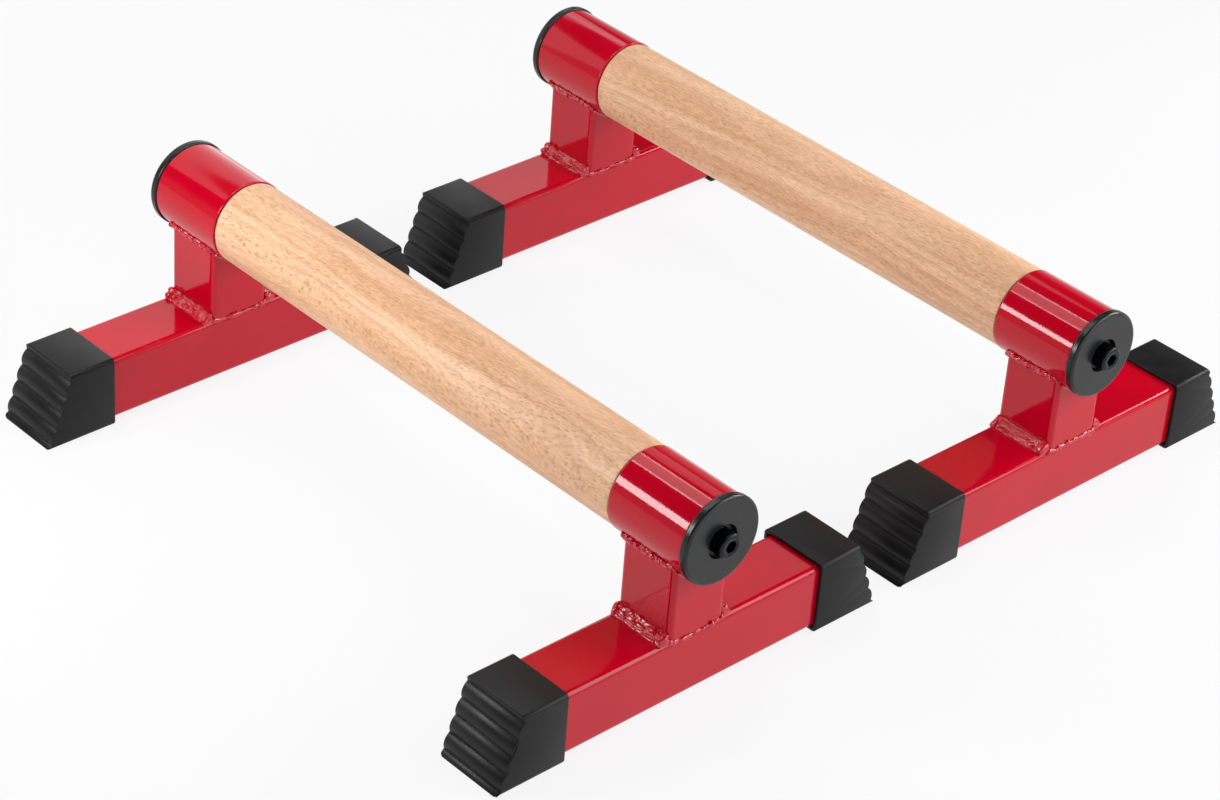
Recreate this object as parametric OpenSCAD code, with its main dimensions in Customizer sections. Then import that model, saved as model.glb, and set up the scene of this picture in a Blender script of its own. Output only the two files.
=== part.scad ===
// A pair of low free-standing parallel bars. Each bar is a round wooden rail in two steel collars,
// which stand on welded square-tube posts and base tubes, with rubber boots on the tube ends.
// X runs along the rails, Y runs across them along the base tubes, and Z is up.
// The origin is on the floor, midway between the two bars.

/* [Overall] */
// Distance between the two post centre lines of one bar
post_spacing = 344; // [240:1:900]
// Length of a base tube
base_len = 200; // [150:1:500]
// Height of a post, from the base tube to the underside of the collar
post_h = 34; // [22:0.5:300]
// Clear gap between the boots of the two bars
boots_apart = 18; // [2:1:500]

/* [Square tube] */
// Outside width of the square tube
tube_w = 35; // [28:0.5:60]
// Wall of the square tube
tube_wall = 2; // [1:0.1:4]
// Outside corner radius of the square tube
tube_corner = 3; // [2.2:0.1:5]

/* [Rail and collars] */
// Diameter of the wooden rail where it is gripped
rail_d = 44; // [36:0.5:60]
// Height of the rail's shoulder above its tenon
rail_shoulder = 1.1; // [0.6:0.1:3]
// Radial clearance between a tenon and its collar
rail_gap = 0.1; // [0.05:0.05:0.5]
// Rounding of the rail's shoulder
shoulder_round = 0.7; // [0.2:0.1:1]
// Gap between the rail's shoulder and the collar's mouth
mouth_gap = 0.5; // [0.1:0.1:2]
// Wall of a collar
collar_wall = 1.5; // [1:0.1:4]
// Length of a collar
collar_len = 48; // [40:0.5:90]
// Rounding of a collar's outer edges
collar_round = 0.6; // [0.2:0.1:1.2]

/* [Rubber boots] */
// Wall of a boot, also the thickness of its sole
boot_wall = 2.3; // [1.5:0.1:5]
// Length of tube that a boot covers
boot_grip = 19.5; // [10:0.5:40]
// Rubber beyond the tube's end at the top of a boot
nose_top = 7; // [4:0.5:20]
// How much further the nose reaches at the floor than at the top
nose_rake = 14.5; // [4:0.5:30]
// Number of ribs across the nose
rib_count = 5; // [3:1:8]
// Height of a rib above its grooves
rib_height = 1.6; // [0.5:0.1:2.5]
// Outside corner radius of the sleeve
boot_corner = 2.4; // [1:0.1:4]
// Corner radius of the nose, seen from above
nose_corner = 1.5; // [1:0.5:9]
// Chamfer inside a boot's mouth, which leads the tube in
mouth_chamfer = 0.8; // [0.3:0.1:1.2]

/* [End caps] */
// How far a cap's rim stands out beyond the collar
cap_overhang = 0.8; // [0.4:0.1:4]
// Thickness of a cap outside the collar
cap_thick = 4.5; // [4:0.1:12]
// Rounding of the cap's outer edge
cap_round = 1.7; // [0.5:0.1:2.4]
// Length of the cap's spigot in the collar
spigot_len = 5.5; // [3:0.5:15]
// Diameter of the recess round the screw head
recess_d = 18; // [17:0.5:26]
// Depth of the recess
recess_depth = 3.9; // [2:0.1:8]

/* [Fasteners] */
// Diameter of the cap screw's shank
screw_d = 8; // [6:0.5:10]
// Length of the cap screw under its head
screw_len = 30; // [24:1:60]
// Diameter of the screw head
head_d = 13; // [11:0.5:15]
// Height of the screw head
head_h = 8; // [5:0.5:12]
// Width across the flats of the hexagon socket
hex_af = 6; // [4:0.5:7]
// Diameter of the washer
washer_d = 16; // [14:0.5:17]
// Thickness of the washer
washer_t = 1.6; // [1:0.1:3]
// Diameter of the threaded insert
insert_d = 12; // [11:0.5:16]
// Length of the threaded insert
insert_len = 25; // [15:1:40]

/* [Welds] */
// Leg of the fillet bead where a post stands on its base tube
foot_bead = 6; // [3:0.5:10]
// How deep in the corner the centre of the fillet's rounded face lies
bead_depth = 4; // [1:0.5:8]
// Height of a ripple above the rest of its bead
ripple_height = 0.5; // [0.2:0.1:1]
// Radius of the seam beads at the flush sides and round the saddle
seam_bead = 2.4; // [1.5:0.1:4]
// Length along the bead of one solidified ripple
ripple = 3.5; // [2:0.5:8]

/* [Hidden] */
BARS = ["front", "back"];
ENDS = ["left", "right"];
SIDES = ["near", "far"];
END_PARTS = ["collar", "post", "base_tube", "foot_weld", "saddle_weld", "end_cap", "cap_screw",
             "cap_washer", "rail_insert"];

$fn = 96;
fine = 48;

// Half spacings and heights, worked up from the floor
half_post = post_spacing / 2;
half_base = base_len / 2;
sole = boot_wall;
boot_h = sole + tube_w + boot_wall;
boot_w = tube_w + 2 * boot_wall;
tube_top = sole + tube_w;
half_tube = tube_w / 2;
bore_d = rail_d - 2 * rail_shoulder + 2 * rail_gap;
tenon_d = bore_d - 2 * rail_gap;
collar_d = bore_d + 2 * collar_wall;
collar_r = collar_d / 2;
axis_z = tube_top + post_h + collar_r;

// Small fits: rail end to spigot, insert and screw in their holes, and drill run-out
end_gap = 0.5;
thread_gap = 0.1;
screw_gap = 0.6;
drill_run = 4;
screw_run = 2;

// Places along the rail, from its middle
mouth_x = half_post - collar_len / 2;
collar_end = half_post + collar_len / 2;
cap_face = collar_end + cap_thick;
recess_floor = cap_face - recess_depth;
spigot_end = collar_end - spigot_len;
rail_end = spigot_end - end_gap;
head_base = recess_floor + washer_t;
cap_r = collar_r + cap_overhang;
insert_bore = screw_d + thread_gap;
screw_hole = screw_d + screw_gap;
insert_hole = insert_len + drill_run;
screw_pocket = screw_len + screw_run;

// Boot reach from the middle of the base, and the rake of its nose
mouth_y = half_base - boot_grip;
nose_y_top = half_base + nose_top;
nose_y_floor = nose_y_top + nose_rake;
rake = atan(nose_rake / boot_h);
slant = boot_h / cos(rake);
bar_spacing = 2 * nose_y_floor + boots_apart;

// Ribs: each one is the cap of a circle whose chord is the pitch
rib_start = 0.08;
part_rib = 0.6;
rib_pitch = slant * (1 - rib_start) / (rib_count - part_rib);
rib_r = (pow(rib_pitch / 2, 2) + pow(rib_height, 2)) / (2 * rib_height);

// The saddle, where a post's side plane meets the collar
widest_saddle = 0.98;
saddle_side = min(half_tube, collar_r * widest_saddle);
saddle_z = axis_z - sqrt(pow(collar_r, 2) - pow(saddle_side, 2));
over = 1;

// The fillet bead's face is an arc through both ends of its legs. Seam beads have round ends
bead_r = sqrt(pow(foot_bead + bead_depth, 2) + pow(bead_depth, 2));
ripple_share = 0.6;
seam_sink = 0.45;
saddle_lift = 0.35;
arc_lift = 0.2;
arc_share = 0.9;
arc_out = 0.25;
core_r = seam_bead - ripple_height;

wood_colour = "burlywood";
paint_colour = "#C3122A";
weld_colour = "#A50F22";
rubber_colour = "#2E2E30";
cap_colour = "#45484A";
screw_colour = "#3A3B3D";
insert_colour = "#B9A36A";

// Builds its child on one bar: -1 is the front one and 1 the back one
module on_bar(bar) {
    translate([0, bar * bar_spacing / 2, 0]) children();
}

// Turns a right-hand piece into a left-hand one where end is -1
module on_end(end) {
    mirror([end < 0 ? 1 : 0, 0, 0]) children();
}

// A rectangle with round corners, centred
module round_rect(w, h, r) {
    square([w - 2 * r, h], center = true);
    square([w, h - 2 * r], center = true);
    for (x = [-1, 1])
        for (y = [-1, 1])
            translate([x * (w / 2 - r), y * (h / 2 - r)]) circle(r, $fn = fine);
}

// Square tube section with a hollow inside
module tube_section() {
    difference() {
        round_rect(tube_w, tube_w, tube_corner);
        round_rect(tube_w - 2 * tube_wall, tube_w - 2 * tube_wall, tube_corner - tube_wall / 2);
    }
}

// Turns its profile, drawn as radius against place from x0 on, about the rail's axis
module turned(x0) {
    translate([x0, 0, axis_z]) rotate([0, 90, 0]) rotate_extrude() children();
}

// A plain round stretch on the rail's axis
module rod(x0, x1, d) {
    translate([x0, 0, axis_z]) rotate([0, 90, 0]) cylinder(d = d, h = x1 - x0);
}

// Turned rail: a full body, a rounded shoulder at each mouth, and tenons in the collars
module rail() {
    body_end = mouth_x - mouth_gap;
    color(wood_colour) difference() {
        union() {
            rod(-rail_end, rail_end, tenon_d);
            rod(-body_end + shoulder_round, body_end - shoulder_round, rail_d);
            for (s = [-1, 1])
                on_end(s) rail_shoulder_ring(body_end);
        }
        for (s = [-1, 1])
            on_end(s) {
                rod(rail_end - insert_hole, rail_end + over, insert_d);
                rod(rail_end - screw_pocket, rail_end, insert_bore);
            }
    }
}

// The rounded edge where the rail's body drops to its tenon
module rail_shoulder_ring(body_end) {
    r = rail_d / 2 - shoulder_round;
    turned(body_end - shoulder_round) {
        square([r, shoulder_round]);
        intersection() {
            translate([r, 0]) circle(shoulder_round, $fn = fine);
            square([rail_d, shoulder_round]);
        }
    }
}

// Collar: a short round tube that the rail's tenon fits in, with its outer edges rounded
module collar() {
    color(paint_colour) turned(mouth_x) difference() {
        union() {
            translate([0, collar_round]) square([collar_r, collar_len - 2 * collar_round]);
            square([collar_r - collar_round, collar_len]);
            for (y = [collar_round, collar_len - collar_round])
                translate([collar_r - collar_round, y]) circle(collar_round, $fn = fine);
        }
        translate([0, -over]) square([bore_d / 2, collar_len + 2 * over]);
    }
}

// Post: square tube whose top is coped to the underside of the collar
module post() {
    color(paint_colour) difference() {
        translate([half_post, 0, tube_top])
            linear_extrude(axis_z - tube_top) tube_section();
        rod(mouth_x - over, collar_end + over, collar_d);
    }
}

// Base tube: square tube lying across the rail
module base_tube() {
    color(paint_colour) translate([half_post, half_base, sole + half_tube])
        rotate([90, 0, 0]) linear_extrude(base_len) tube_section();
}

// Fillet bead with ripples, along X, in the corner between a post's face and its base tube
module foot_fillet() {
    ripples = floor(tube_w / ripple);
    pitch = tube_w / ripples;
    translate([half_post - half_tube, half_tube, tube_top]) intersection() {
        cube([tube_w, foot_bead, foot_bead]);
        translate([0, -bead_depth, -bead_depth]) rotate([0, 90, 0]) {
            cylinder(r = bead_r - ripple_height, h = tube_w, $fn = fine);
            for (i = [0:ripples - 1])
                translate([0, 0, (i + (1 - ripple_share) / 2) * pitch])
                    cylinder(r = bead_r, h = pitch * ripple_share, $fn = fine);
        }
    }
}

// A row of weld puddles along +X from x0, with a core through them
module puddles(x0, len) {
    count = floor((len - 2 * seam_bead) / ripple);
    pitch = (len - 2 * seam_bead) / count;
    translate([x0 + seam_bead, 0, 0]) {
        rotate([0, 90, 0]) cylinder(r = core_r, h = count * pitch, $fn = fine);
        for (i = [0:count])
            translate([i * pitch, 0, 0]) sphere(seam_bead, $fn = fine);
    }
}

// Seam bead along Y, that fills the rounded corner of the base tube under the post's flush side
module flush_seam() {
    seam_x = half_post + half_tube - tube_corner * seam_sink;
    seam_z = tube_top - tube_corner * seam_sink;
    seam_len = tube_w - 2 * tube_corner;
    difference() {
        translate([seam_x, 0, seam_z]) rotate([0, 0, 90]) puddles(-seam_len / 2, seam_len);
        solid_base();
        solid_post();
    }
}

// The outer shapes of the tubes, taken out of the beads that lie against them
module solid_base() {
    translate([half_post, half_base, sole + half_tube]) rotate([90, 0, 0])
        linear_extrude(base_len) round_rect(tube_w, tube_w, tube_corner);
}

module solid_post() {
    translate([half_post, 0, tube_top])
        linear_extrude(axis_z - tube_top) round_rect(tube_w, tube_w, tube_corner);
}

// All four sides of the weld at a post's foot
module foot_weld() {
    color(weld_colour) {
        for (s = [0, 1])
            mirror([0, s, 0]) foot_fillet();
        translate([half_post, 0, 0])
            for (s = [0, 1])
                mirror([s, 0, 0]) translate([-half_post, 0, 0]) flush_seam();
    }
}

// Weld round the saddle: a straight bead along each side, and an arc at each end
module saddle_weld() {
    color(weld_colour) difference() {
        union() {
            for (s = [-1, 1])
                translate([half_post, s * (saddle_side + seam_bead * saddle_lift), saddle_z])
                    puddles(-half_tube, tube_w);
            for (s = [-1, 1])
                translate([half_post + s * (half_tube + seam_bead * arc_out), 0, axis_z])
                    rotate([0, 90, 0]) saddle_arc();
        }
        solid_post();
        rod(mouth_x - over, collar_end + over, collar_d);
    }
}

// Bead that follows the collar's underside across a post's flat side, and stops short of its corners
module saddle_arc() {
    half_arc = asin((saddle_side - seam_bead) / collar_r);
    rotate([0, 0, -half_arc]) rotate_extrude(angle = 2 * half_arc)
        translate([collar_r + seam_bead * arc_lift, 0]) circle(seam_bead * arc_share, $fn = fine);
}

// Boot: three crossing profiles, hollowed for the tube's end. Drawn at the near end of the tube
module boot() {
    color(rubber_colour) translate([half_post, 0, 0]) mirror([0, 1, 0]) difference() {
        intersection() {
            boot_side_profile();
            boot_front_profile();
            boot_nose_profile();
        }
        boot_cavity();
    }
}

// Side view, drawn across the boot: a raked end with ribs
module boot_side_profile() {
    rotate([90, 0, 90]) translate([0, 0, -boot_w / 2]) linear_extrude(boot_w) intersection() {
        translate([mouth_y, 0]) square([nose_y_floor + rib_height - mouth_y, boot_h]);
        union() {
            polygon([[mouth_y, 0], [nose_y_floor - rib_height, 0], [nose_y_top - rib_height, boot_h],
                     [mouth_y, boot_h]]);
            for (i = [0:rib_count])
                translate([nose_y_top, boot_h]) rotate(rake)
                    translate([-rib_r, -(rib_start * slant + (i - 0.5) * rib_pitch)])
                        circle(rib_r);
        }
    }
}

// End view: the sleeve's rounded outline
module boot_front_profile() {
    translate([0, nose_y_floor + over, boot_h / 2]) rotate([90, 0, 0])
        linear_extrude(nose_y_floor + 2 * over) round_rect(boot_w, boot_h, boot_corner);
}

// The nose's rounded corners, which follow its rake
module boot_nose_profile() {
    reach = nose_y_floor;
    translate([0, nose_y_floor, 0]) rotate([rake, 0, 0])
        translate([0, -reach / 2, -slant / 2])
            linear_extrude(2 * slant) round_rect(boot_w, reach, nose_corner);
}

// The space for the tube's end, with a chamfer at the mouth on all four sides
module boot_cavity() {
    translate([0, half_base, sole + half_tube]) rotate([90, 0, 0]) {
        linear_extrude(half_base) round_rect(tube_w, tube_w, tube_corner);
        for (a = [0:90:270])
            rotate([0, 0, a]) translate([-half_tube, half_tube, boot_grip])
                rotate([0, 90, 0]) linear_extrude(tube_w)
                    polygon([[-over, mouth_chamfer + over], [-over, -over],
                             [mouth_chamfer + over, -over]]);
    }
}

// End cap: a round-edged disc with a spigot, a recess and a hole for its screw
module end_cap() {
    color(cap_colour) difference() {
        union() {
            turned(collar_end) cap_outline();
            rod(spigot_end, collar_end, bore_d - 2 * rail_gap);
        }
        rod(recess_floor, cap_face + over, recess_d);
        rod(spigot_end - over, cap_face, screw_hole);
    }
}

// Half outline of the cap's disc, with a small round at the back and a larger one in front
module cap_outline() {
    back_round = cap_round / 2;
    square([cap_r - cap_round, cap_thick]);
    translate([0, back_round]) square([cap_r, cap_thick - back_round - cap_round]);
    square([cap_r - back_round, cap_thick / 2]);
    translate([cap_r - back_round, back_round]) circle(back_round, $fn = fine);
    translate([cap_r - cap_round, cap_thick - cap_round]) circle(cap_round, $fn = fine);
}

// Socket-head cap screw: a rounded head with a hexagon socket
module cap_screw() {
    head_round = 1.2;
    socket_depth = head_h / 2;
    color(screw_colour) difference() {
        union() {
            rod(head_base - screw_len, head_base + over, screw_d);
            turned(head_base) {
                square([head_d / 2, head_h - head_round]);
                square([head_d / 2 - head_round, head_h]);
                translate([head_d / 2 - head_round, head_h - head_round])
                    circle(head_round, $fn = fine);
            }
        }
        translate([head_base + head_h - socket_depth, 0, axis_z]) rotate([0, 90, 0])
            cylinder(d = hex_af / cos(30), h = socket_depth + over, $fn = 6);
    }
}

// Flat washer between the screw head and the cap
module cap_washer() {
    color(screw_colour) difference() {
        rod(recess_floor, head_base, washer_d);
        rod(recess_floor - over, head_base + over, screw_hole);
    }
}

// Threaded insert set in the rail's end
module rail_insert() {
    color(insert_colour) difference() {
        rod(rail_end - insert_len, rail_end, insert_d);
        rod(rail_end - insert_len - over, rail_end + over, insert_bore);
    }
}

// One of the pieces that each end of a bar has
module end_part(part) {
    if (part == "collar") collar();
    if (part == "post") post();
    if (part == "base_tube") base_tube();
    if (part == "foot_weld") foot_weld();
    if (part == "saddle_weld") saddle_weld();
    if (part == "end_cap") end_cap();
    if (part == "cap_screw") cap_screw();
    if (part == "cap_washer") cap_washer();
    if (part == "rail_insert") rail_insert();
}

for (b = [0, 1]) {
    on_bar(2 * b - 1) rail();
    for (e = [0, 1]) {
        for (p = END_PARTS)
            on_bar(2 * b - 1) on_end(2 * e - 1) end_part(p);
        for (s = [0, 1])
            on_bar(2 * b - 1) on_end(2 * e - 1) mirror([0, s, 0]) boot();
    }
}
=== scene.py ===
"""Looks for a pair of low free-standing parallel bars: beech rails, gloss red welded steel, rubber boots."""
import math
import random

import bmesh
import bpy
from mathutils import Matrix, Vector


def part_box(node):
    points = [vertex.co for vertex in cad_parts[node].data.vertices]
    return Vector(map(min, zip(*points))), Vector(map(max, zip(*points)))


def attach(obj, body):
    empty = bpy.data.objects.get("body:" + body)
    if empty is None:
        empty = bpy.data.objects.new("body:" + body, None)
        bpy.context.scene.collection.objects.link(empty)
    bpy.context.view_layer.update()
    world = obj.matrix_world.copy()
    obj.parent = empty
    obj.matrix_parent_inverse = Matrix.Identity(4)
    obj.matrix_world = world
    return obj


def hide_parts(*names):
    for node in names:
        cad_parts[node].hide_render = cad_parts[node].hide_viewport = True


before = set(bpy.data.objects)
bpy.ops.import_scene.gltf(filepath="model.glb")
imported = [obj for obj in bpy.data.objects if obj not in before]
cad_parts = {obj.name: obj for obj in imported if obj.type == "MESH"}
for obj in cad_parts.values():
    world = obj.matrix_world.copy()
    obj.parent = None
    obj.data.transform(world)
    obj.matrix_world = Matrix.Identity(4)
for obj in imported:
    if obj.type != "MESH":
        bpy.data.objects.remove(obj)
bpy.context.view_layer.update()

MM = 0.001
BARS = ("front", "back")
ENDS = ("left", "right")
SIDES = ("near", "far")


def srgb(code):
    """A hex colour as linear RGBA."""
    parts = [int(code[i:i + 2], 16) / 255 for i in (1, 3, 5)]
    return tuple(p / 12.92 if p <= 0.04045 else ((p + 0.055) / 1.055) ** 2.4 for p in parts) + (1.0,)


def add(tree, kind, feeds=None, **settings):
    """Adds a node with its settings. Each feed is a value or a node's output, by socket name or number."""
    node = tree.nodes.new(kind)
    for name, value in settings.items():
        setattr(node, name, value)
    for key, value in (feeds or {}).items():
        if isinstance(value, bpy.types.NodeSocket):
            tree.links.new(value, node.inputs[key])
        else:
            node.inputs[key].default_value = value
    return node


# Camera ---------------------------------------------------------------------------------------------

CAMERA_AZIMUTH = math.radians(45.168)
CAMERA_ELEVATION = math.radians(33.102)
CAMERA_ROLL = math.radians(4.52)
CAMERA_DISTANCE = 1.76204
CAMERA_TARGET = Vector((0.04724, -0.05662, 0.060))

forward = Vector((-math.sin(CAMERA_AZIMUTH) * math.cos(CAMERA_ELEVATION),
                  math.cos(CAMERA_AZIMUTH) * math.cos(CAMERA_ELEVATION),
                  -math.sin(CAMERA_ELEVATION)))
level = Vector((math.cos(CAMERA_AZIMUTH), math.sin(CAMERA_AZIMUTH), 0))
upright = level.cross(forward)
cam_x = level * math.cos(CAMERA_ROLL) + upright * math.sin(CAMERA_ROLL)
cam_y = upright * math.cos(CAMERA_ROLL) - level * math.sin(CAMERA_ROLL)
camera_data = bpy.data.cameras.new("camera")
camera_data.lens = 105.53
camera_data.sensor_fit = "HORIZONTAL"
camera_data.sensor_width = 36
camera = bpy.data.objects.new("camera", camera_data)
bpy.context.scene.collection.objects.link(camera)
place = Matrix((cam_x, cam_y, -forward)).transposed().to_4x4()
place.translation = CAMERA_TARGET - forward * CAMERA_DISTANCE
camera.matrix_world = place
bpy.context.scene.camera = camera

view = bpy.context.scene.view_settings
view.view_transform = "Standard"
view.look = "None"
view.exposure = 0
view.gamma = 1


# Studio ---------------------------------------------------------------------------------------------

def softbox(name, centre, aim, width, height, radiance):
    """A rectangular white area light that the camera doesn't see. Radiance is what a mirror would show."""
    data = bpy.data.lights.new(name, "AREA")
    data.shape = "RECTANGLE"
    data.size = width
    data.size_y = height
    data.energy = radiance * math.pi * width * height
    lamp = bpy.data.objects.new(name, data)
    bpy.context.scene.collection.objects.link(lamp)
    turn = (Vector(aim) - Vector(centre)).to_track_quat("-Z", "Y")
    lamp.matrix_world = Matrix.Translation(centre) @ turn.to_matrix().to_4x4()
    lamp.visible_camera = False


softbox("overhead_panel", (-0.13, -0.03, 0.77), (-0.13, -0.03, 0), 0.62, 0.33, 2.2)
softbox("overhead_tube_near", (-0.13, -0.207, 0.76), (-0.13, -0.207, 0), 0.62, 0.034, 11.0)
softbox("overhead_tube_far", (-0.13, 0.14, 0.76), (-0.13, 0.14, 0), 0.62, 0.034, 8.0)
softbox("left_strip", (-0.15, -0.47, 0.29), (0.05, 0.0, 0.09), 0.24, 0.12, 17.0)
softbox("left_reflector", (-0.62, 0.08, 0.28), (0.0, 0.08, 0.2), 0.95, 0.54, 1.25)
softbox("back_left_panel", (-0.75, 0.75, 0.95), (0.0, 0.0, 0.05), 0.5, 0.5, 0.85)
softbox("back_right_panel", (0.35, 0.95, 0.55), (0.05, 0.1, 0.05), 0.5, 0.4, 10.5)
softbox("right_key", (0.95, 0.75, 0.85), (0.0, 0.0, 0.05), 0.4, 1.2, 3.2)
softbox("near_right_panel", (0.62, 0.3, 0.4), (0.15, 0.0, 0.03), 0.4, 0.5, 2.0)
softbox("near_right_low", (0.7, 0.1, 0.25), (0.15, 0.0, 0.03), 0.3, 0.3, 2.3)
softbox("front_panel", (0.8, -0.25, 0.3), (0.15, -0.1, 0.05), 0.4, 0.4, 1.35)
softbox("front_low", (0.55, -0.4, 0.16), (0.15, -0.1, 0.03), 0.3, 0.2, 0.8)

world = bpy.data.worlds.new("studio")
bpy.context.scene.world = world
world.use_nodes = True
tree = world.node_tree
tree.nodes.clear()
direction = add(tree, "ShaderNodeTexCoord")
height = add(tree, "ShaderNodeSeparateXYZ", {0: direction.outputs["Generated"]})
dimming = add(tree, "ShaderNodeMapRange", {"Value": height.outputs["Z"], "From Min": 0.12, "From Max": 0.42,
                                           "To Min": 0.4, "To Max": 0.03}, interpolation_type="SMOOTHSTEP")
glow = add(tree, "ShaderNodeBackground", {"Color": srgb("#FFFFFF"), "Strength": dimming.outputs[0]})
add(tree, "ShaderNodeOutputWorld", {"Surface": glow.outputs[0]})


def new_material(name):
    """A material with an empty node tree."""
    material = bpy.data.materials.new(name)
    material.use_nodes = True
    material.node_tree.nodes.clear()
    return material, material.node_tree


def floor_material():
    """Matt white paper sweep, lit from below a little so that shadows stay faint."""
    material, tree = new_material("paper_sweep")
    paper = add(tree, "ShaderNodeBsdfPrincipled", {"Base Color": srgb("#545455"), "Roughness": 0.9,
                                                   "Specular IOR Level": 0.0, "Emission Strength": 0.86,
                                                   "Emission Color": srgb("#FFFFFF")})
    add(tree, "ShaderNodeOutputMaterial", {"Surface": paper.outputs[0]})
    return material


FLOOR_REACH = 14
floor_mesh = bpy.data.meshes.new("floor")
corners = ((-1, -1), (1, -1), (1, 1), (-1, 1))
floor_mesh.from_pydata([(x * FLOOR_REACH, y * FLOOR_REACH, 0) for x, y in corners], [], [(0, 1, 2, 3)])
floor = bpy.data.objects.new("floor", floor_mesh)
bpy.context.scene.collection.objects.link(floor)
floor_mesh.materials.append(floor_material())


# Materials ------------------------------------------------------------------------------------------

def powder_coat(name, peel_mm=1.6, peel_height=0.03, rough=0.085, ior=1.4):
    """Gloss polyester powder coat baked on steel: a deep even red with a skin of fine orange peel."""
    material, tree = new_material(name)
    place = add(tree, "ShaderNodeTexCoord").outputs["Object"]
    cloud = add(tree, "ShaderNodeTexNoise", {"Vector": place, "Scale": 1 / (45 * MM), "Detail": 3.0})
    tone = add(tree, "ShaderNodeMapRange", {"Value": cloud.outputs[0], "From Min": 0.3, "From Max": 0.7})
    red = add(tree, "ShaderNodeMix", {0: tone.outputs[0], 6: srgb("#AF001B"), 7: srgb("#B60320")},
              data_type="RGBA")
    peel = add(tree, "ShaderNodeTexNoise", {"Vector": place, "Scale": 1 / (peel_mm * MM), "Detail": 2.0,
                                            "Roughness": 0.4})
    skin = add(tree, "ShaderNodeBump", {"Height": peel.outputs[0], "Strength": 0.35,
                                        "Distance": peel_height * MM})
    dust = add(tree, "ShaderNodeTexNoise", {"Vector": place, "Scale": 1 / (12 * MM), "Detail": 5.0})
    gloss = add(tree, "ShaderNodeMapRange", {"Value": dust.outputs[0], "From Min": 0.3, "From Max": 0.75,
                                             "To Min": rough * 0.85, "To Max": rough * 1.25})
    coat = add(tree, "ShaderNodeBsdfPrincipled", {"Base Color": red.outputs[2], "Roughness": gloss.outputs[0],
                                                  "IOR": ior, "Normal": skin.outputs[0]})
    add(tree, "ShaderNodeOutputMaterial", {"Surface": coat.outputs[0]})
    return material


RING_WIDTH = 4.6 * MM
RING_WANDER = 22 * MM
FLECK_LENGTH = 3.8 * MM
FLECK_DEPTH = 5 * MM
FLECKS_PER_RADIAN = 60 / 0.52


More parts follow.
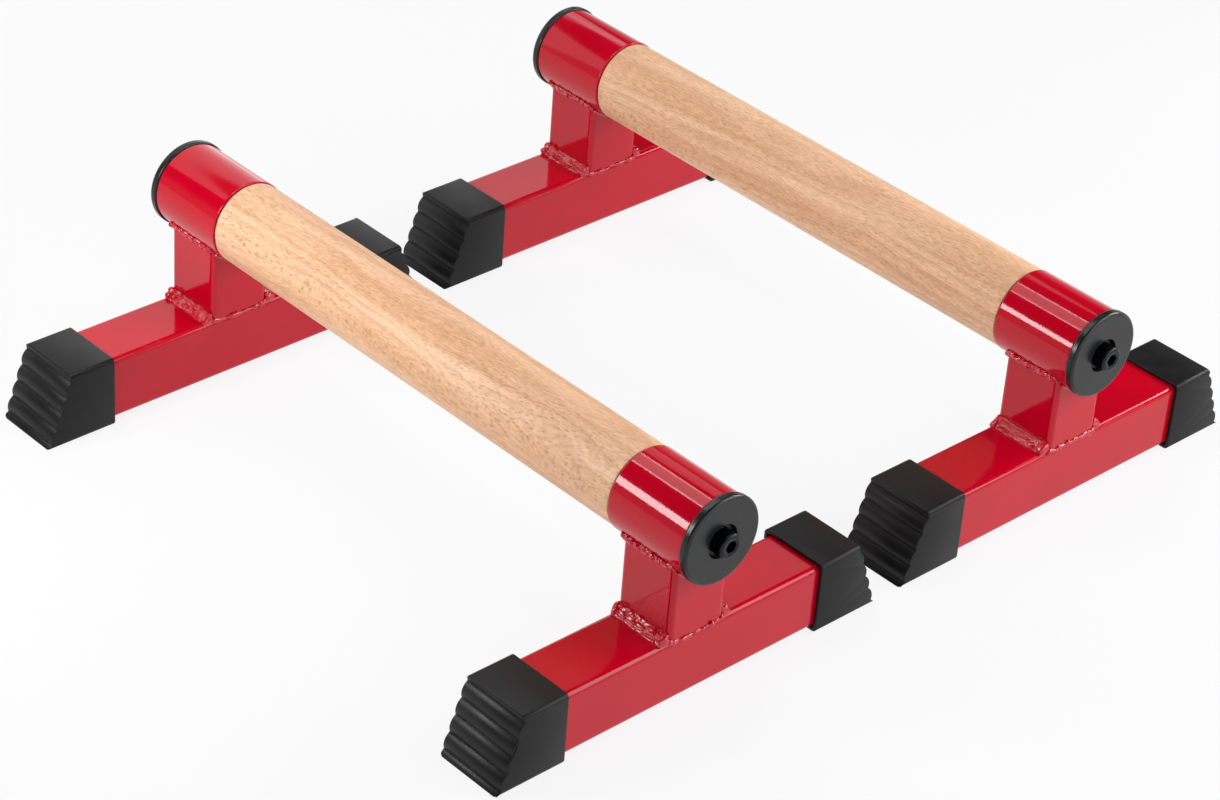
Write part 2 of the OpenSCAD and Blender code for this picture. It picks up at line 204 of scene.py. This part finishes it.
def beech(name, pith, tilt, seed):
    """Turned and sanded beech under thin matt lacquer: soft growth rings, and short dark ray flecks."""
    material, tree = new_material(name)
    place = add(tree, "ShaderNodeTexCoord").outputs["Object"]

    # The log's own frame: its pith lies beside the rail, and the rings wander a little along it
    drift_place = add(tree, "ShaderNodeMapping", {"Vector": place, "Location": (seed, 0, 0),
                                                  "Scale": (7, 30, 30)})
    drift = add(tree, "ShaderNodeTexNoise", {"Vector": drift_place.outputs[0], "Scale": 1.0, "Detail": 2.0})
    sway = add(tree, "ShaderNodeVectorMath", {0: drift.outputs["Color"], 1: (0.5, 0.5, 0.5)},
               operation="SUBTRACT")
    wander = add(tree, "ShaderNodeVectorMath", {0: sway.outputs[0], 1: (0.0, RING_WANDER, RING_WANDER)},
                 operation="MULTIPLY")
    bent = add(tree, "ShaderNodeVectorMath", {0: place, 1: wander.outputs[0]})
    log_frame = add(tree, "ShaderNodeMapping", {"Vector": bent.outputs[0], "Location": pith, "Rotation": tilt},
                    vector_type="TEXTURE").outputs[0]
    axes = add(tree, "ShaderNodeSeparateXYZ", {0: log_frame})
    along, across, deep = axes.outputs[0], axes.outputs[1], axes.outputs[2]
    flat = add(tree, "ShaderNodeCombineXYZ", {1: across, 2: deep})
    radius = add(tree, "ShaderNodeVectorMath", {0: flat.outputs[0]}, operation="LENGTH").outputs["Value"]
    angle = add(tree, "ShaderNodeMath", {0: deep, 1: across}, operation="ARCTAN2")

    # Growth rings: pale early wood that darkens slowly to a soft late line, stronger in some places
    rings_out = add(tree, "ShaderNodeMath", {0: radius, 1: RING_WIDTH}, operation="DIVIDE")
    ring = add(tree, "ShaderNodeMath", {0: rings_out.outputs[0]}, operation="FRACT")
    darkening = add(tree, "ShaderNodeMapRange", {"Value": ring.outputs[0], "From Min": 0.2, "From Max": 0.9},
                    interpolation_type="SMOOTHERSTEP")
    ending = add(tree, "ShaderNodeMapRange", {"Value": ring.outputs[0], "From Min": 0.9, "From Max": 1.0,
                                              "To Min": 1.0, "To Max": 0.0})
    late = add(tree, "ShaderNodeMath", {0: darkening.outputs[0], 1: ending.outputs[0]}, operation="MULTIPLY")
    season_place = add(tree, "ShaderNodeMapping", {"Vector": place, "Location": (seed * 3, 0, 0),
                                                   "Scale": (9, 40, 40)})
    season = add(tree, "ShaderNodeTexNoise", {"Vector": season_place.outputs[0], "Scale": 1.0, "Detail": 3.0})
    strength = add(tree, "ShaderNodeMapRange", {"Value": season.outputs[0], "From Min": 0.38, "From Max": 0.68,
                                                "To Min": 0.04, "To Max": 0.5})
    ring_dark = add(tree, "ShaderNodeMath", {0: late.outputs[0], 1: strength.outputs[0]}, operation="MULTIPLY")

    # Ray flecks: thin blades that point at the pith, short lines on one face and flakes on another
    blade_along = add(tree, "ShaderNodeMath", {0: along, 1: 1 / FLECK_LENGTH}, operation="MULTIPLY")
    blade_round = add(tree, "ShaderNodeMath", {0: angle.outputs[0], 1: FLECKS_PER_RADIAN},
                      operation="MULTIPLY")
    blade_deep = add(tree, "ShaderNodeMath", {0: radius, 1: 1 / FLECK_DEPTH}, operation="MULTIPLY")
    blade_place = add(tree, "ShaderNodeCombineXYZ", {0: blade_along.outputs[0], 1: blade_round.outputs[0],
                                                     2: blade_deep.outputs[0]})
    blades = add(tree, "ShaderNodeTexVoronoi", {"Vector": blade_place.outputs[0], "Scale": 1.0,
                                                "Randomness": 1.0}, feature="F1")
    blade = add(tree, "ShaderNodeMapRange", {"Value": blades.outputs["Distance"], "From Min": 0.16,
                                             "From Max": 0.44, "To Min": 1.0, "To Max": 0.0})
    patch_place = add(tree, "ShaderNodeMapping", {"Vector": place, "Location": (seed * 5, 0, 0),
                                                  "Scale": (18, 70, 70)})
    patches = add(tree, "ShaderNodeTexNoise", {"Vector": patch_place.outputs[0], "Scale": 1.0, "Detail": 3.0})
    patch = add(tree, "ShaderNodeMapRange", {"Value": patches.outputs[0], "From Min": 0.36, "From Max": 0.62,
                                             "To Min": 0.24, "To Max": 0.55})
    fleck = add(tree, "ShaderNodeMath", {0: blade.outputs[0], 1: patch.outputs[0]}, operation="MULTIPLY")

    # Fibres: very fine streaks along the grain, and broad bands of warmer and paler wood
    fibre_place = add(tree, "ShaderNodeMapping", {"Vector": log_frame, "Location": (0.0, 0, 0),
                                                  "Scale": (170, 1500, 1500)})
    fibre = add(tree, "ShaderNodeTexNoise", {"Vector": fibre_place.outputs[0], "Scale": 1.0, "Detail": 4.0})
    band_place = add(tree, "ShaderNodeMapping", {"Vector": log_frame, "Location": (seed * 7, 0, 0),
                                                 "Scale": (5, 70, 70)})
    bands = add(tree, "ShaderNodeTexNoise", {"Vector": band_place.outputs[0], "Scale": 1.0, "Detail": 3.0})
    band = add(tree, "ShaderNodeMapRange", {"Value": bands.outputs[0], "From Min": 0.36, "From Max": 0.64})
    ground = add(tree, "ShaderNodeMix", {0: band.outputs[0], 6: srgb("#D2A27D"), 7: srgb("#E2B895")},
                 data_type="RGBA")
    ringed = add(tree, "ShaderNodeMix", {0: ring_dark.outputs[0], 6: ground.outputs[2], 7: srgb("#B9855A")},
                 data_type="RGBA")
    flecked = add(tree, "ShaderNodeMix", {0: fleck.outputs[0], 6: ringed.outputs[2], 7: srgb("#9C6A44")},
                  data_type="RGBA")
    shade = add(tree, "ShaderNodeMapRange", {"Value": fibre.outputs[0], "From Min": 0.32, "From Max": 0.68,
                                             "To Min": 0.82, "To Max": 1.13})
    wood = add(tree, "ShaderNodeVectorMath", {0: flecked.outputs[2], "Scale": shade.outputs[0]},
               operation="SCALE")
    relief = add(tree, "ShaderNodeMath", {0: fibre.outputs[0], 1: fleck.outputs[0]}, operation="SUBTRACT")
    pores = add(tree, "ShaderNodeBump", {"Height": relief.outputs[0], "Strength": 0.5, "Distance": 0.03 * MM})
    lacquer = add(tree, "ShaderNodeBsdfPrincipled", {"Base Color": wood.outputs[0], "Roughness": 0.52,
                                                     "IOR": 1.45, "Normal": pores.outputs[0]})
    add(tree, "ShaderNodeOutputMaterial", {"Surface": lacquer.outputs[0]})
    return material


def moulded(name, dark, light, rough, ior, grit_mm, grit_height):
    """A moulded black polymer: even colour, slightly bloomed, with the fine tooth of a spark-eroded mould."""
    material, tree = new_material(name)
    place = add(tree, "ShaderNodeTexCoord").outputs["Object"]
    bloom = add(tree, "ShaderNodeTexNoise", {"Vector": place, "Scale": 1 / (14 * MM), "Detail": 4.0})
    tone = add(tree, "ShaderNodeMapRange", {"Value": bloom.outputs[0], "From Min": 0.3, "From Max": 0.7})
    colour = add(tree, "ShaderNodeMix", {0: tone.outputs[0], 6: srgb(dark), 7: srgb(light)}, data_type="RGBA")
    grit = add(tree, "ShaderNodeTexNoise", {"Vector": place, "Scale": 1 / (grit_mm * MM), "Detail": 2.0})
    tooth = add(tree, "ShaderNodeBump", {"Height": grit.outputs[0], "Strength": 0.6,
                                         "Distance": grit_height * MM})
    sheen = add(tree, "ShaderNodeMapRange", {"Value": bloom.outputs[0], "From Min": 0.3, "From Max": 0.7,
                                             "To Min": rough * 0.9, "To Max": rough * 1.12})
    body = add(tree, "ShaderNodeBsdfPrincipled", {"Base Color": colour.outputs[2], "IOR": ior,
                                                  "Roughness": sheen.outputs[0], "Normal": tooth.outputs[0]})
    add(tree, "ShaderNodeOutputMaterial", {"Surface": body.outputs[0]})
    return material


def plated(name, colour_code, rough):
    """A machined steel part with a thin finish, such as black oxide or yellow zinc."""
    material, tree = new_material(name)
    place = add(tree, "ShaderNodeTexCoord").outputs["Object"]
    turned = add(tree, "ShaderNodeTexNoise", {"Vector": add(tree, "ShaderNodeMapping", {
        "Vector": place, "Scale": (3000, 200, 200)}).outputs[0], "Scale": 1.0, "Detail": 2.0})
    sheen = add(tree, "ShaderNodeMapRange", {"Value": turned.outputs[0], "From Min": 0.3, "From Max": 0.7,
                                             "To Min": rough * 0.8, "To Max": rough * 1.2})
    marks = add(tree, "ShaderNodeBump", {"Height": turned.outputs[0], "Strength": 0.2, "Distance": 0.01 * MM})
    metal = add(tree, "ShaderNodeBsdfPrincipled", {"Base Color": srgb(colour_code), "Metallic": 1.0,
                                                   "Roughness": sheen.outputs[0], "Normal": marks.outputs[0]})
    add(tree, "ShaderNodeOutputMaterial", {"Surface": metal.outputs[0]})
    return material


paint = powder_coat("gloss_powder_coat_on_steel")
weld_paint = powder_coat("gloss_powder_coat_on_weld", peel_mm=1.2, peel_height=0.012, rough=0.05,
                         ior=1.62)
wood = {}
for bar, pith_y, pith_z, tilt, seed in (("front", -28, -34, (0.0, 0.035, 0.05), 1.7),
                                        ("back", 12, -50, (0.0, -0.05, 0.03), 6.3)):
    rail_low, rail_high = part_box(f"{bar}_rail")
    rail_axis = (rail_low + rail_high) / 2
    pith = (0.0, rail_axis.y + pith_y * MM, rail_axis.z + pith_z * MM)
    wood[bar] = beech(f"beech_{bar}_rail", pith, tilt, seed)
rubber = moulded("moulded_rubber", "#0D0D0E", "#131315", 0.42, 1.32, 0.5, 0.04)
cap_plastic = moulded("moulded_nylon", "#131416", "#191A1C", 0.26, 1.4, 0.35, 0.015)
black_oxide = plated("black_oxide_steel", "#2B2C2E", 0.34)
zinc = plated("zinc_plated_steel", "#B7A678", 0.35)


def dress(node, material):
    """Gives a CAD piece its finish."""
    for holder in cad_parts[node].material_slots:
        holder.material = material


for bar in BARS:
    dress(f"{bar}_rail", wood[bar])
    for end in ENDS:
        for part in ("collar", "post", "base_tube"):
            dress(f"{bar}_{end}_{part}", paint)
        for part in ("foot_weld", "saddle_weld"):
            dress(f"{bar}_{end}_{part}", weld_paint)
        dress(f"{bar}_{end}_end_cap", cap_plastic)
        dress(f"{bar}_{end}_cap_screw", black_oxide)
        dress(f"{bar}_{end}_cap_washer", black_oxide)
        dress(f"{bar}_{end}_rail_insert", zinc)
        for side in SIDES:
            dress(f"{bar}_{end}_{side}_boot", rubber)


# Pieces made here -----------------------------------------------------------------------------------

def node_tree(name, sizes):
    """An empty geometry tree with a geometry socket each way and named inputs, and its inputs' outputs."""
    tree = bpy.data.node_groups.new(name, "GeometryNodeTree")
    tree.interface.new_socket("Geometry", in_out="INPUT", socket_type="NodeSocketGeometry")
    for label, kind in sizes.items():
        tree.interface.new_socket(label, in_out="INPUT", socket_type="NodeSocket" + kind)
    tree.interface.new_socket("Geometry", in_out="OUTPUT", socket_type="NodeSocketGeometry")
    return tree, tree.nodes.new("NodeGroupInput").outputs


def grown(name, start, tree, values):
    """Runs a geometry tree on a start mesh and gives a new piece with the plain mesh that it makes."""
    seedling = bpy.data.objects.new(name + "_path", start)
    bpy.context.scene.collection.objects.link(seedling)
    modifier = seedling.modifiers.new(tree.name, "NODES")
    modifier.node_group = tree
    for item in tree.interface.items_tree:
        if item.in_out == "INPUT" and item.name in values:
            modifier[item.identifier] = values[item.name]
    bpy.context.view_layer.update()
    made = bpy.data.meshes.new_from_object(seedling.evaluated_get(bpy.context.evaluated_depsgraph_get()))
    bpy.data.objects.remove(seedling)
    made.name = name
    piece = bpy.data.objects.new(name, made)
    bpy.context.scene.collection.objects.link(piece)
    return piece


# Weld sizes in millimetres. Each row is out from the post's face, up, and the size of its puddles,
# and a saddle row ends with how much they swell. The gap at the saddle's ends is in degrees round the collar
FOOT_ROWS = ((1.6, 0.9, 2.2), (4.3, -0.1, 1.3), (0.3, 3.7, 1.3))
FOOT_RIDGES = ((3.4, 1.7), (1.8, 3.1))
FOOT_RIDGE_SIZE = 0.85
SADDLE_ROWS = ((0.7, -0.2, 1.6, 0.35), (1.2, 1.0, 1.1, 0.5))
SADDLE_OFFSET = 0.5
SADDLE_END_GAP = 8
ARC_STEPS = 20


def weld_tree():
    """MIG weld: half-round puddles that freeze one over another along a path, fused and slightly rough."""
    tree, given = node_tree("weld_bead", {"Pitch": "Float", "Wander": "Float", "Voxel": "Float", "Seed": "Int",
                                          "Roughness": "Float", "Finish": "Material"})
    path = add(tree, "GeometryNodeMeshToCurve", {"Mesh": given["Geometry"]})
    steps = add(tree, "GeometryNodeResampleCurve", {"Curve": path.outputs[0], "Length": given["Pitch"]},
                mode="LENGTH")
    stray = add(tree, "FunctionNodeRandomValue", {0: (-1, -1, -1), 1: (1, 1, 1), "Seed": given["Seed"]},
                data_type="FLOAT_VECTOR")
    shift = add(tree, "ShaderNodeVectorMath", {0: stray.outputs[0], "Scale": given["Wander"]},
                operation="SCALE")
    strayed = add(tree, "GeometryNodeSetPosition", {"Geometry": steps.outputs[0], "Offset": shift.outputs[0]})
    size = add(tree, "GeometryNodeInputNamedAttribute", {"Name": "size"}, data_type="FLOAT")
    swell = add(tree, "FunctionNodeRandomValue", {2: 0.94, 3: 1.06, "Seed": given["Seed"]}, data_type="FLOAT")
    girth = add(tree, "ShaderNodeMath", {0: size.outputs[0], 1: swell.outputs[1]}, operation="MULTIPLY")
    puddle_scale = add(tree, "ShaderNodeVectorMath", {0: (0.72, 1.0, 0.95), "Scale": girth.outputs[0]},
                       operation="SCALE")
    heading = add(tree, "FunctionNodeAlignRotationToVector",
                  {"Vector": add(tree, "GeometryNodeInputTangent").outputs[0]}, axis="X")
    puddle = add(tree, "GeometryNodeMeshIcoSphere", {"Radius": 1.0, "Subdivisions": 3})
    row = add(tree, "GeometryNodeInstanceOnPoints", {
        "Points": strayed.outputs[0], "Instance": puddle.outputs[0], "Rotation": heading.outputs[0],
        "Scale": puddle_scale.outputs[0]})
    loose = add(tree, "GeometryNodeRealizeInstances", {0: row.outputs[0]})
    cast = add(tree, "GeometryNodeMeshToVolume", {"Mesh": loose.outputs[0], "Voxel Size": given["Voxel"],
                                                  "Interior Band Width": given["Pitch"]},
               resolution_mode="VOXEL_SIZE")
    skin = add(tree, "GeometryNodeVolumeToMesh", {"Volume": cast.outputs[0], "Threshold": 0.1},
               resolution_mode="GRID")
    calm = add(tree, "GeometryNodeBlurAttribute", {
        "Value": add(tree, "GeometryNodeInputPosition").outputs[0], "Iterations": 3}, data_type="FLOAT_VECTOR")
    smooth = add(tree, "GeometryNodeSetPosition", {"Geometry": skin.outputs[0], "Position": calm.outputs[0]})
    pits = add(tree, "ShaderNodeTexNoise", {"Scale": 700.0, "Detail": 2.0})
    pit_depth = add(tree, "ShaderNodeMath", {0: pits.outputs[0], 1: -0.5}, operation="ADD")
    push = add(tree, "ShaderNodeMath", {0: pit_depth.outputs[0], 1: given["Roughness"]}, operation="MULTIPLY")
    outward = add(tree, "ShaderNodeVectorMath", {0: add(tree, "GeometryNodeInputNormal").outputs[0],
                                                 "Scale": push.outputs[0]}, operation="SCALE")
    pitted = add(tree, "GeometryNodeSetPosition", {"Geometry": smooth.outputs[0],
                                                   "Offset": outward.outputs[0]})
    rounded = add(tree, "GeometryNodeSetShadeSmooth", {0: pitted.outputs[0]})
    whole = add(tree, "GeometryNodeRealizeInstances", {0: rounded.outputs[0]})
    painted = add(tree, "GeometryNodeSetMaterial", {"Geometry": whole.outputs[0], "Material": given["Finish"]})
    add(tree, "NodeGroupOutput", {0: painted.outputs[0]})
    return tree


def wavy(start, stop, size, dice, swell=0.25, sway=0.35, step=1.6):
    """Points from start to stop in millimetres with a size at each, which sway and swell at random."""
    start, stop = Vector(start), Vector(stop)
    count = max(2, round((stop - start).length / step))
    run = []
    for i in range(count + 1):
        jitter = Vector([dice.uniform(-sway, sway) for axis in range(3)])
        run.append((start.lerp(stop, i / count) + jitter, size * dice.uniform(1 - swell, 1 + swell)))
    return run


def path_mesh(name, runs, centre):
    """A mesh of open lines through the points of each run, which are in millimetres from centre."""
    mesh = bpy.data.meshes.new(name)
    points, sizes, edges = [], [], []
    for run in runs:
        edges += [(len(points) + i, len(points) + i + 1) for i in range(len(run) - 1)]
        points += [centre + point * MM for point, size in run]
        sizes += [size * MM for point, size in run]
    mesh.from_pydata(points, edges, [])
    mesh.attributes.new("size", "FLOAT", "POINT").data.foreach_set("value", sizes)
    return mesh


bead = weld_tree()
for number, (bar, end) in enumerate((b, e) for b in BARS for e in ENDS):
    prefix = f"{bar}_{end}_"
    post_low, post_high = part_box(prefix + "post")
    collar_low, collar_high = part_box(prefix + "collar")
    tube_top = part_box(prefix + "base_tube")[1].z
    middle = (post_low + post_high) / 2
    half = (post_high.x - post_low.x) / 2 / MM
    foot = Vector((middle.x, middle.y, tube_top))
    dice = random.Random(40 + number)

    runs = []
    for side in (-1, 1):
        for out, up, size in FOOT_ROWS:
            runs.append(wavy((-half + 1.2, side * (half + out), up), (half - 1.2, side * (half + out), up),
                             size, dice, swell=0.25, sway=0.35, step=2.6))
        for out, up in FOOT_RIDGES:
            runs.append(wavy((-half + 2.0, side * (half + out), up), (half - 2.0, side * (half + out), up),
                             FOOT_RIDGE_SIZE, dice, swell=0.5, sway=0.55, step=3.2))
        for corner in (-1, 1):
            runs.append(wavy((corner * (half - 2.6), side * (half + 3.4), 1.0),
                             (corner * (half - 1.6), side * (half + 0.6), 3.0),
                             2.3, dice, swell=0.3, sway=0.6))
            runs.append(wavy((corner * (half - 0.5), side * (half - 1.0), 0.0),
                             (corner * (half - 0.3), side * (half - 4.5), -0.7), 1.5, dice))
    for corner in (-1, 1):
        runs.append(wavy((corner * (half - 0.15), -half + 3, -0.6), (corner * (half - 0.15), half - 3, -0.6),
                         1.3, dice, swell=0.55, sway=0.45, step=2.4))
    weld = grown(prefix + "foot_weld_bead", path_mesh(prefix + "foot_path", runs, foot), bead, {
        "Pitch": 0.8 * MM, "Wander": 0.08 * MM, "Voxel": 0.24 * MM, "Seed": number, "Roughness": 0.08 * MM,
        "Finish": weld_paint})
    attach(weld, f"{bar}_bar")
    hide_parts(prefix + "foot_weld")

    axis = Vector((middle.x, middle.y, (collar_low.z + collar_high.z) / 2))
    reach = (collar_high.z - collar_low.z) / 2 / MM
    crease = -math.sqrt(reach ** 2 - half ** 2)
    runs = []
    for side in (-1, 1):
        for out, up, size, swell in SADDLE_ROWS:
            runs.append(wavy((-half + 1, side * (half + out), crease + up),
                             (half - 1, side * (half + out), crease + up), size, dice, swell=swell))
    sweep = math.degrees(math.asin(half / reach)) - SADDLE_END_GAP
    for corner in (-1, 1):
        arc = []
        for i in range(ARC_STEPS + 1):
            turn = math.radians(-sweep + 2 * sweep * i / ARC_STEPS)
            spot = Vector((corner * (half + 0.5 + dice.uniform(-0.2, 0.2)),
                           (reach + SADDLE_OFFSET) * math.sin(turn),
                           -(reach + SADDLE_OFFSET) * math.cos(turn)))
            arc.append((spot, 1.3 * dice.uniform(0.7, 1.3)))
        runs.append(arc)
    weld = grown(prefix + "saddle_weld_bead", path_mesh(prefix + "saddle_path", runs, axis), bead, {
        "Pitch": 0.9 * MM, "Wander": 0.12 * MM, "Voxel": 0.24 * MM, "Seed": 10 + number, "Roughness": 0.1 * MM,
        "Finish": weld_paint})
    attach(weld, f"{bar}_bar")
    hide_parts(prefix + "saddle_weld")


MOULD_ROUND = 0.4 * MM
SHARP_EDGE = math.radians(30)
SMOOTH_LIMIT = math.radians(38)
SAME_POINT = 0.002 * MM


def softened(node):
    """A copy of a CAD piece whose sharp edges are rounded, as a mould leaves them."""
    cad = bmesh.new()
    cad.from_mesh(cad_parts[node].data)
    bmesh.ops.remove_doubles(cad, verts=cad.verts, dist=SAME_POINT)
    bmesh.ops.dissolve_limit(cad, angle_limit=math.radians(0.5), verts=cad.verts, edges=cad.edges)
    sharp = [edge for edge in cad.edges if len(edge.link_faces) == 2
             and edge.calc_face_angle(0) > SHARP_EDGE]
    bmesh.ops.bevel(cad, geom=sharp, offset=MOULD_ROUND, offset_type="OFFSET", segments=2, profile=0.5,
                    affect="EDGES", clamp_overlap=False)
    bmesh.ops.triangulate(cad, faces=cad.faces)
    mesh = bpy.data.meshes.new(node + "_softened")
    cad.to_mesh(mesh)
    cad.free()
    mesh.shade_smooth()
    mesh.set_sharp_from_angle(angle=SMOOTH_LIMIT)
    piece = bpy.data.objects.new(node + "_softened", mesh)
    bpy.context.scene.collection.objects.link(piece)
    return piece


for bar in BARS:
    for end in ENDS:
        for side in SIDES:
            node = f"{bar}_{end}_{side}_boot"
            boot = softened(node)
            boot.data.materials.clear()
            boot.data.materials.append(rubber)
            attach(boot, f"{bar}_bar")
            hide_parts(node)


def screw_tree():
    """Socket-head cap screw: a profile turned about its axis, with a knurled head and a hexagon socket."""
    tree, given = node_tree("cap_screw", {"Points": "Int", "Knurls": "Int", "Knurl Depth": "Float",
                                          "Across Flats": "Float", "Finish": "Material"})

    # A flat sheet whose rows are the profile's points, and whose columns go once round the axis
    four_a_knurl = add(tree, "ShaderNodeMath", {0: given["Knurls"], 1: 4.0}, operation="MULTIPLY")
    columns = add(tree, "ShaderNodeMath", {0: four_a_knurl.outputs[0], 1: 1.0}, operation="ADD")
    sheet = add(tree, "GeometryNodeMeshGrid", {"Size X": 1.0, "Size Y": 1.0, "Vertices X": given["Points"],
                                               "Vertices Y": columns.outputs[0]})
    spot = add(tree, "ShaderNodeSeparateXYZ", {0: add(tree, "GeometryNodeInputPosition").outputs[0]})
    part_along = add(tree, "ShaderNodeMath", {0: spot.outputs[0], 1: 0.5}, operation="ADD")
    last_row = add(tree, "ShaderNodeMath", {0: given["Points"], 1: 1.0}, operation="SUBTRACT")
    row_place = add(tree, "ShaderNodeMath", {0: part_along.outputs[0], 1: last_row.outputs[0]},
                    operation="MULTIPLY")
    row = add(tree, "ShaderNodeMath", {0: row_place.outputs[0]}, operation="ROUND")
    part_round = add(tree, "ShaderNodeMath", {0: spot.outputs[1], 1: 0.5}, operation="ADD")
    whole_turn = add(tree, "ShaderNodeMath", {0: part_round.outputs[0], 1: math.tau}, operation="MULTIPLY")
    turn = whole_turn.outputs[0]

    # The profile's point in each row, and whether it is knurled or lies on the hexagon
    profile_place = add(tree, "GeometryNodeInputPosition")
    sampled = add(tree, "GeometryNodeSampleIndex", {"Geometry": given["Geometry"], "Index": row.outputs[0],
                                                    "Value": profile_place.outputs[0]},
                  data_type="FLOAT_VECTOR")
    point = add(tree, "ShaderNodeSeparateXYZ", {0: sampled.outputs[0]})
    flags = []
    for flag in ("knurled", "hexagonal"):
        mark = add(tree, "GeometryNodeInputNamedAttribute", {"Name": flag}, data_type="FLOAT")
        flags.append(add(tree, "GeometryNodeSampleIndex", {"Geometry": given["Geometry"],
                                                           "Index": row.outputs[0], "Value": mark.outputs[0]},
                         data_type="FLOAT").outputs[0])

    # Knurls are shallow waves cut into the head
    wave_turn = add(tree, "ShaderNodeMath", {0: turn, 1: given["Knurls"]}, operation="MULTIPLY")
    wave = add(tree, "ShaderNodeMath", {0: wave_turn.outputs[0]}, operation="COSINE")
    half_wave = add(tree, "ShaderNodeMath", {0: wave.outputs[0], 1: 0.5}, operation="MULTIPLY")
    groove = add(tree, "ShaderNodeMath", {0: half_wave.outputs[0], 1: 0.5}, operation="SUBTRACT")
    groove_cut = add(tree, "ShaderNodeMath", {0: groove.outputs[0], 1: given["Knurl Depth"]},
                     operation="MULTIPLY")
    knurl = add(tree, "ShaderNodeMath", {0: groove_cut.outputs[0], 1: flags[0]}, operation="MULTIPLY")
    round_reach = add(tree, "ShaderNodeMath", {0: point.outputs[1], 1: knurl.outputs[0]}, operation="ADD")

    # The socket's reach to each flat of its hexagon
    in_side = add(tree, "ShaderNodeMath", {0: turn, 1: math.tau / 6}, operation="MODULO")
    side_turn = add(tree, "ShaderNodeMath", {0: in_side.outputs[0], 1: math.tau / 12}, operation="SUBTRACT")
    side_cosine = add(tree, "ShaderNodeMath", {0: side_turn.outputs[0]}, operation="COSINE")
    half_flats = add(tree, "ShaderNodeMath", {0: given["Across Flats"], 1: 0.5}, operation="MULTIPLY")
    flat = add(tree, "ShaderNodeMath", {0: half_flats.outputs[0], 1: side_cosine.outputs[0]},
               operation="DIVIDE")
    flat_gap = add(tree, "ShaderNodeMath", {0: flat.outputs[0], 1: round_reach.outputs[0]},
                   operation="SUBTRACT")
    flat_shift = add(tree, "ShaderNodeMath", {0: flat_gap.outputs[0], 1: flags[1]}, operation="MULTIPLY")
    reach = add(tree, "ShaderNodeMath", {0: round_reach.outputs[0], 1: flat_shift.outputs[0]}, operation="ADD")

    # The sheet is rolled up and its seam and ends are closed
    turn_cosine = add(tree, "ShaderNodeMath", {0: turn}, operation="COSINE")
    turn_sine = add(tree, "ShaderNodeMath", {0: turn}, operation="SINE")
    place_y = add(tree, "ShaderNodeMath", {0: reach.outputs[0], 1: turn_cosine.outputs[0]},
                  operation="MULTIPLY")
    place_z = add(tree, "ShaderNodeMath", {0: reach.outputs[0], 1: turn_sine.outputs[0]}, operation="MULTIPLY")
    place = add(tree, "ShaderNodeCombineXYZ", {0: point.outputs[0], 1: place_y.outputs[0],
                                               2: place_z.outputs[0]})
    turned = add(tree, "GeometryNodeSetPosition", {"Geometry": sheet.outputs[0], "Position": place.outputs[0]})
    closed = add(tree, "GeometryNodeMergeByDistance", {"Geometry": turned.outputs[0], "Distance": SAME_POINT})
    whole = add(tree, "GeometryNodeRealizeInstances", {0: closed.outputs[0]})
    finished = add(tree, "GeometryNodeSetMaterial", {"Geometry": whole.outputs[0],
                                                     "Material": given["Finish"]})
    add(tree, "NodeGroupOutput", {0: finished.outputs[0]})
    return tree


# M8 socket-head cap screw, in millimetres from the underside of the head
HEAD_HEIGHT = 8.0
HEAD_RADIUS = 6.5
HEAD_ROUND = 1.2
HEX_ACROSS_FLATS = 6.0
HEAD_ARC = []
for turn in (0, 22.5, 45, 67.5, 90):
    along = HEAD_HEIGHT - HEAD_ROUND + HEAD_ROUND * math.sin(math.radians(turn))
    out = HEAD_RADIUS - HEAD_ROUND + HEAD_ROUND * math.cos(math.radians(turn))
    HEAD_ARC.append((round(along, 2), round(out, 2), 0, 0))

# Each point of the profile: along the screw, out from its axis, knurled, hexagonal
SCREW_PROFILE = [(-30.0, 0.0, 0, 0), (-30.0, 3.4, 0, 0), (-29.2, 4.0, 0, 0), (0.0, 4.0, 0, 0),
                 (0.0, 6.2, 0, 0), (0.3, HEAD_RADIUS, 0, 0), (0.5, HEAD_RADIUS, 1, 0),
                 (6.2, HEAD_RADIUS, 1, 0), (6.4, HEAD_RADIUS, 0, 0), *HEAD_ARC, (HEAD_HEIGHT, 3.8, 0, 0),
                 (7.7, 3.4, 0, 1), (4.0, 3.4, 0, 1), (3.2, 0.0, 0, 0)]

screw = screw_tree()
for bar in BARS:
    for end in ENDS:
        node = f"{bar}_{end}_cap_screw"
        low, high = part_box(node)
        profile = bpy.data.meshes.new(node + "_profile")
        profile.from_pydata([(along * MM, out * MM, 0) for along, out, knurled, hexagonal in SCREW_PROFILE],
                            [(i, i + 1) for i in range(len(SCREW_PROFILE) - 1)], [])
        for column, flag in ((2, "knurled"), (3, "hexagonal")):
            profile.attributes.new(flag, "FLOAT", "POINT").data.foreach_set(
                "value", [float(point[column]) for point in SCREW_PROFILE])
        piece = grown(node + "_knurled", profile, screw, {
            "Points": len(SCREW_PROFILE), "Knurls": 36, "Knurl Depth": 0.35 * MM,
            "Across Flats": HEX_ACROSS_FLATS * MM, "Finish": black_oxide})
        outward = 1 if (low.x + high.x) > 0 else -1
        tip = high.x if outward > 0 else low.x
        head_base = Vector((tip - outward * HEAD_HEIGHT * MM, (low.y + high.y) / 2, (low.z + high.z) / 2))
        facing = Matrix.Rotation(0 if outward > 0 else math.pi, 4, "Z")
        piece.data.transform(Matrix.Translation(head_base) @ facing)
        shell = bmesh.new()
        shell.from_mesh(piece.data)
        bmesh.ops.recalc_face_normals(shell, faces=shell.faces)
        shell.to_mesh(piece.data)
        shell.free()
        piece.data.shade_smooth()
        piece.data.set_sharp_from_angle(angle=SMOOTH_LIMIT)
        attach(piece, f"{bar}_bar")
        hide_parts(node)
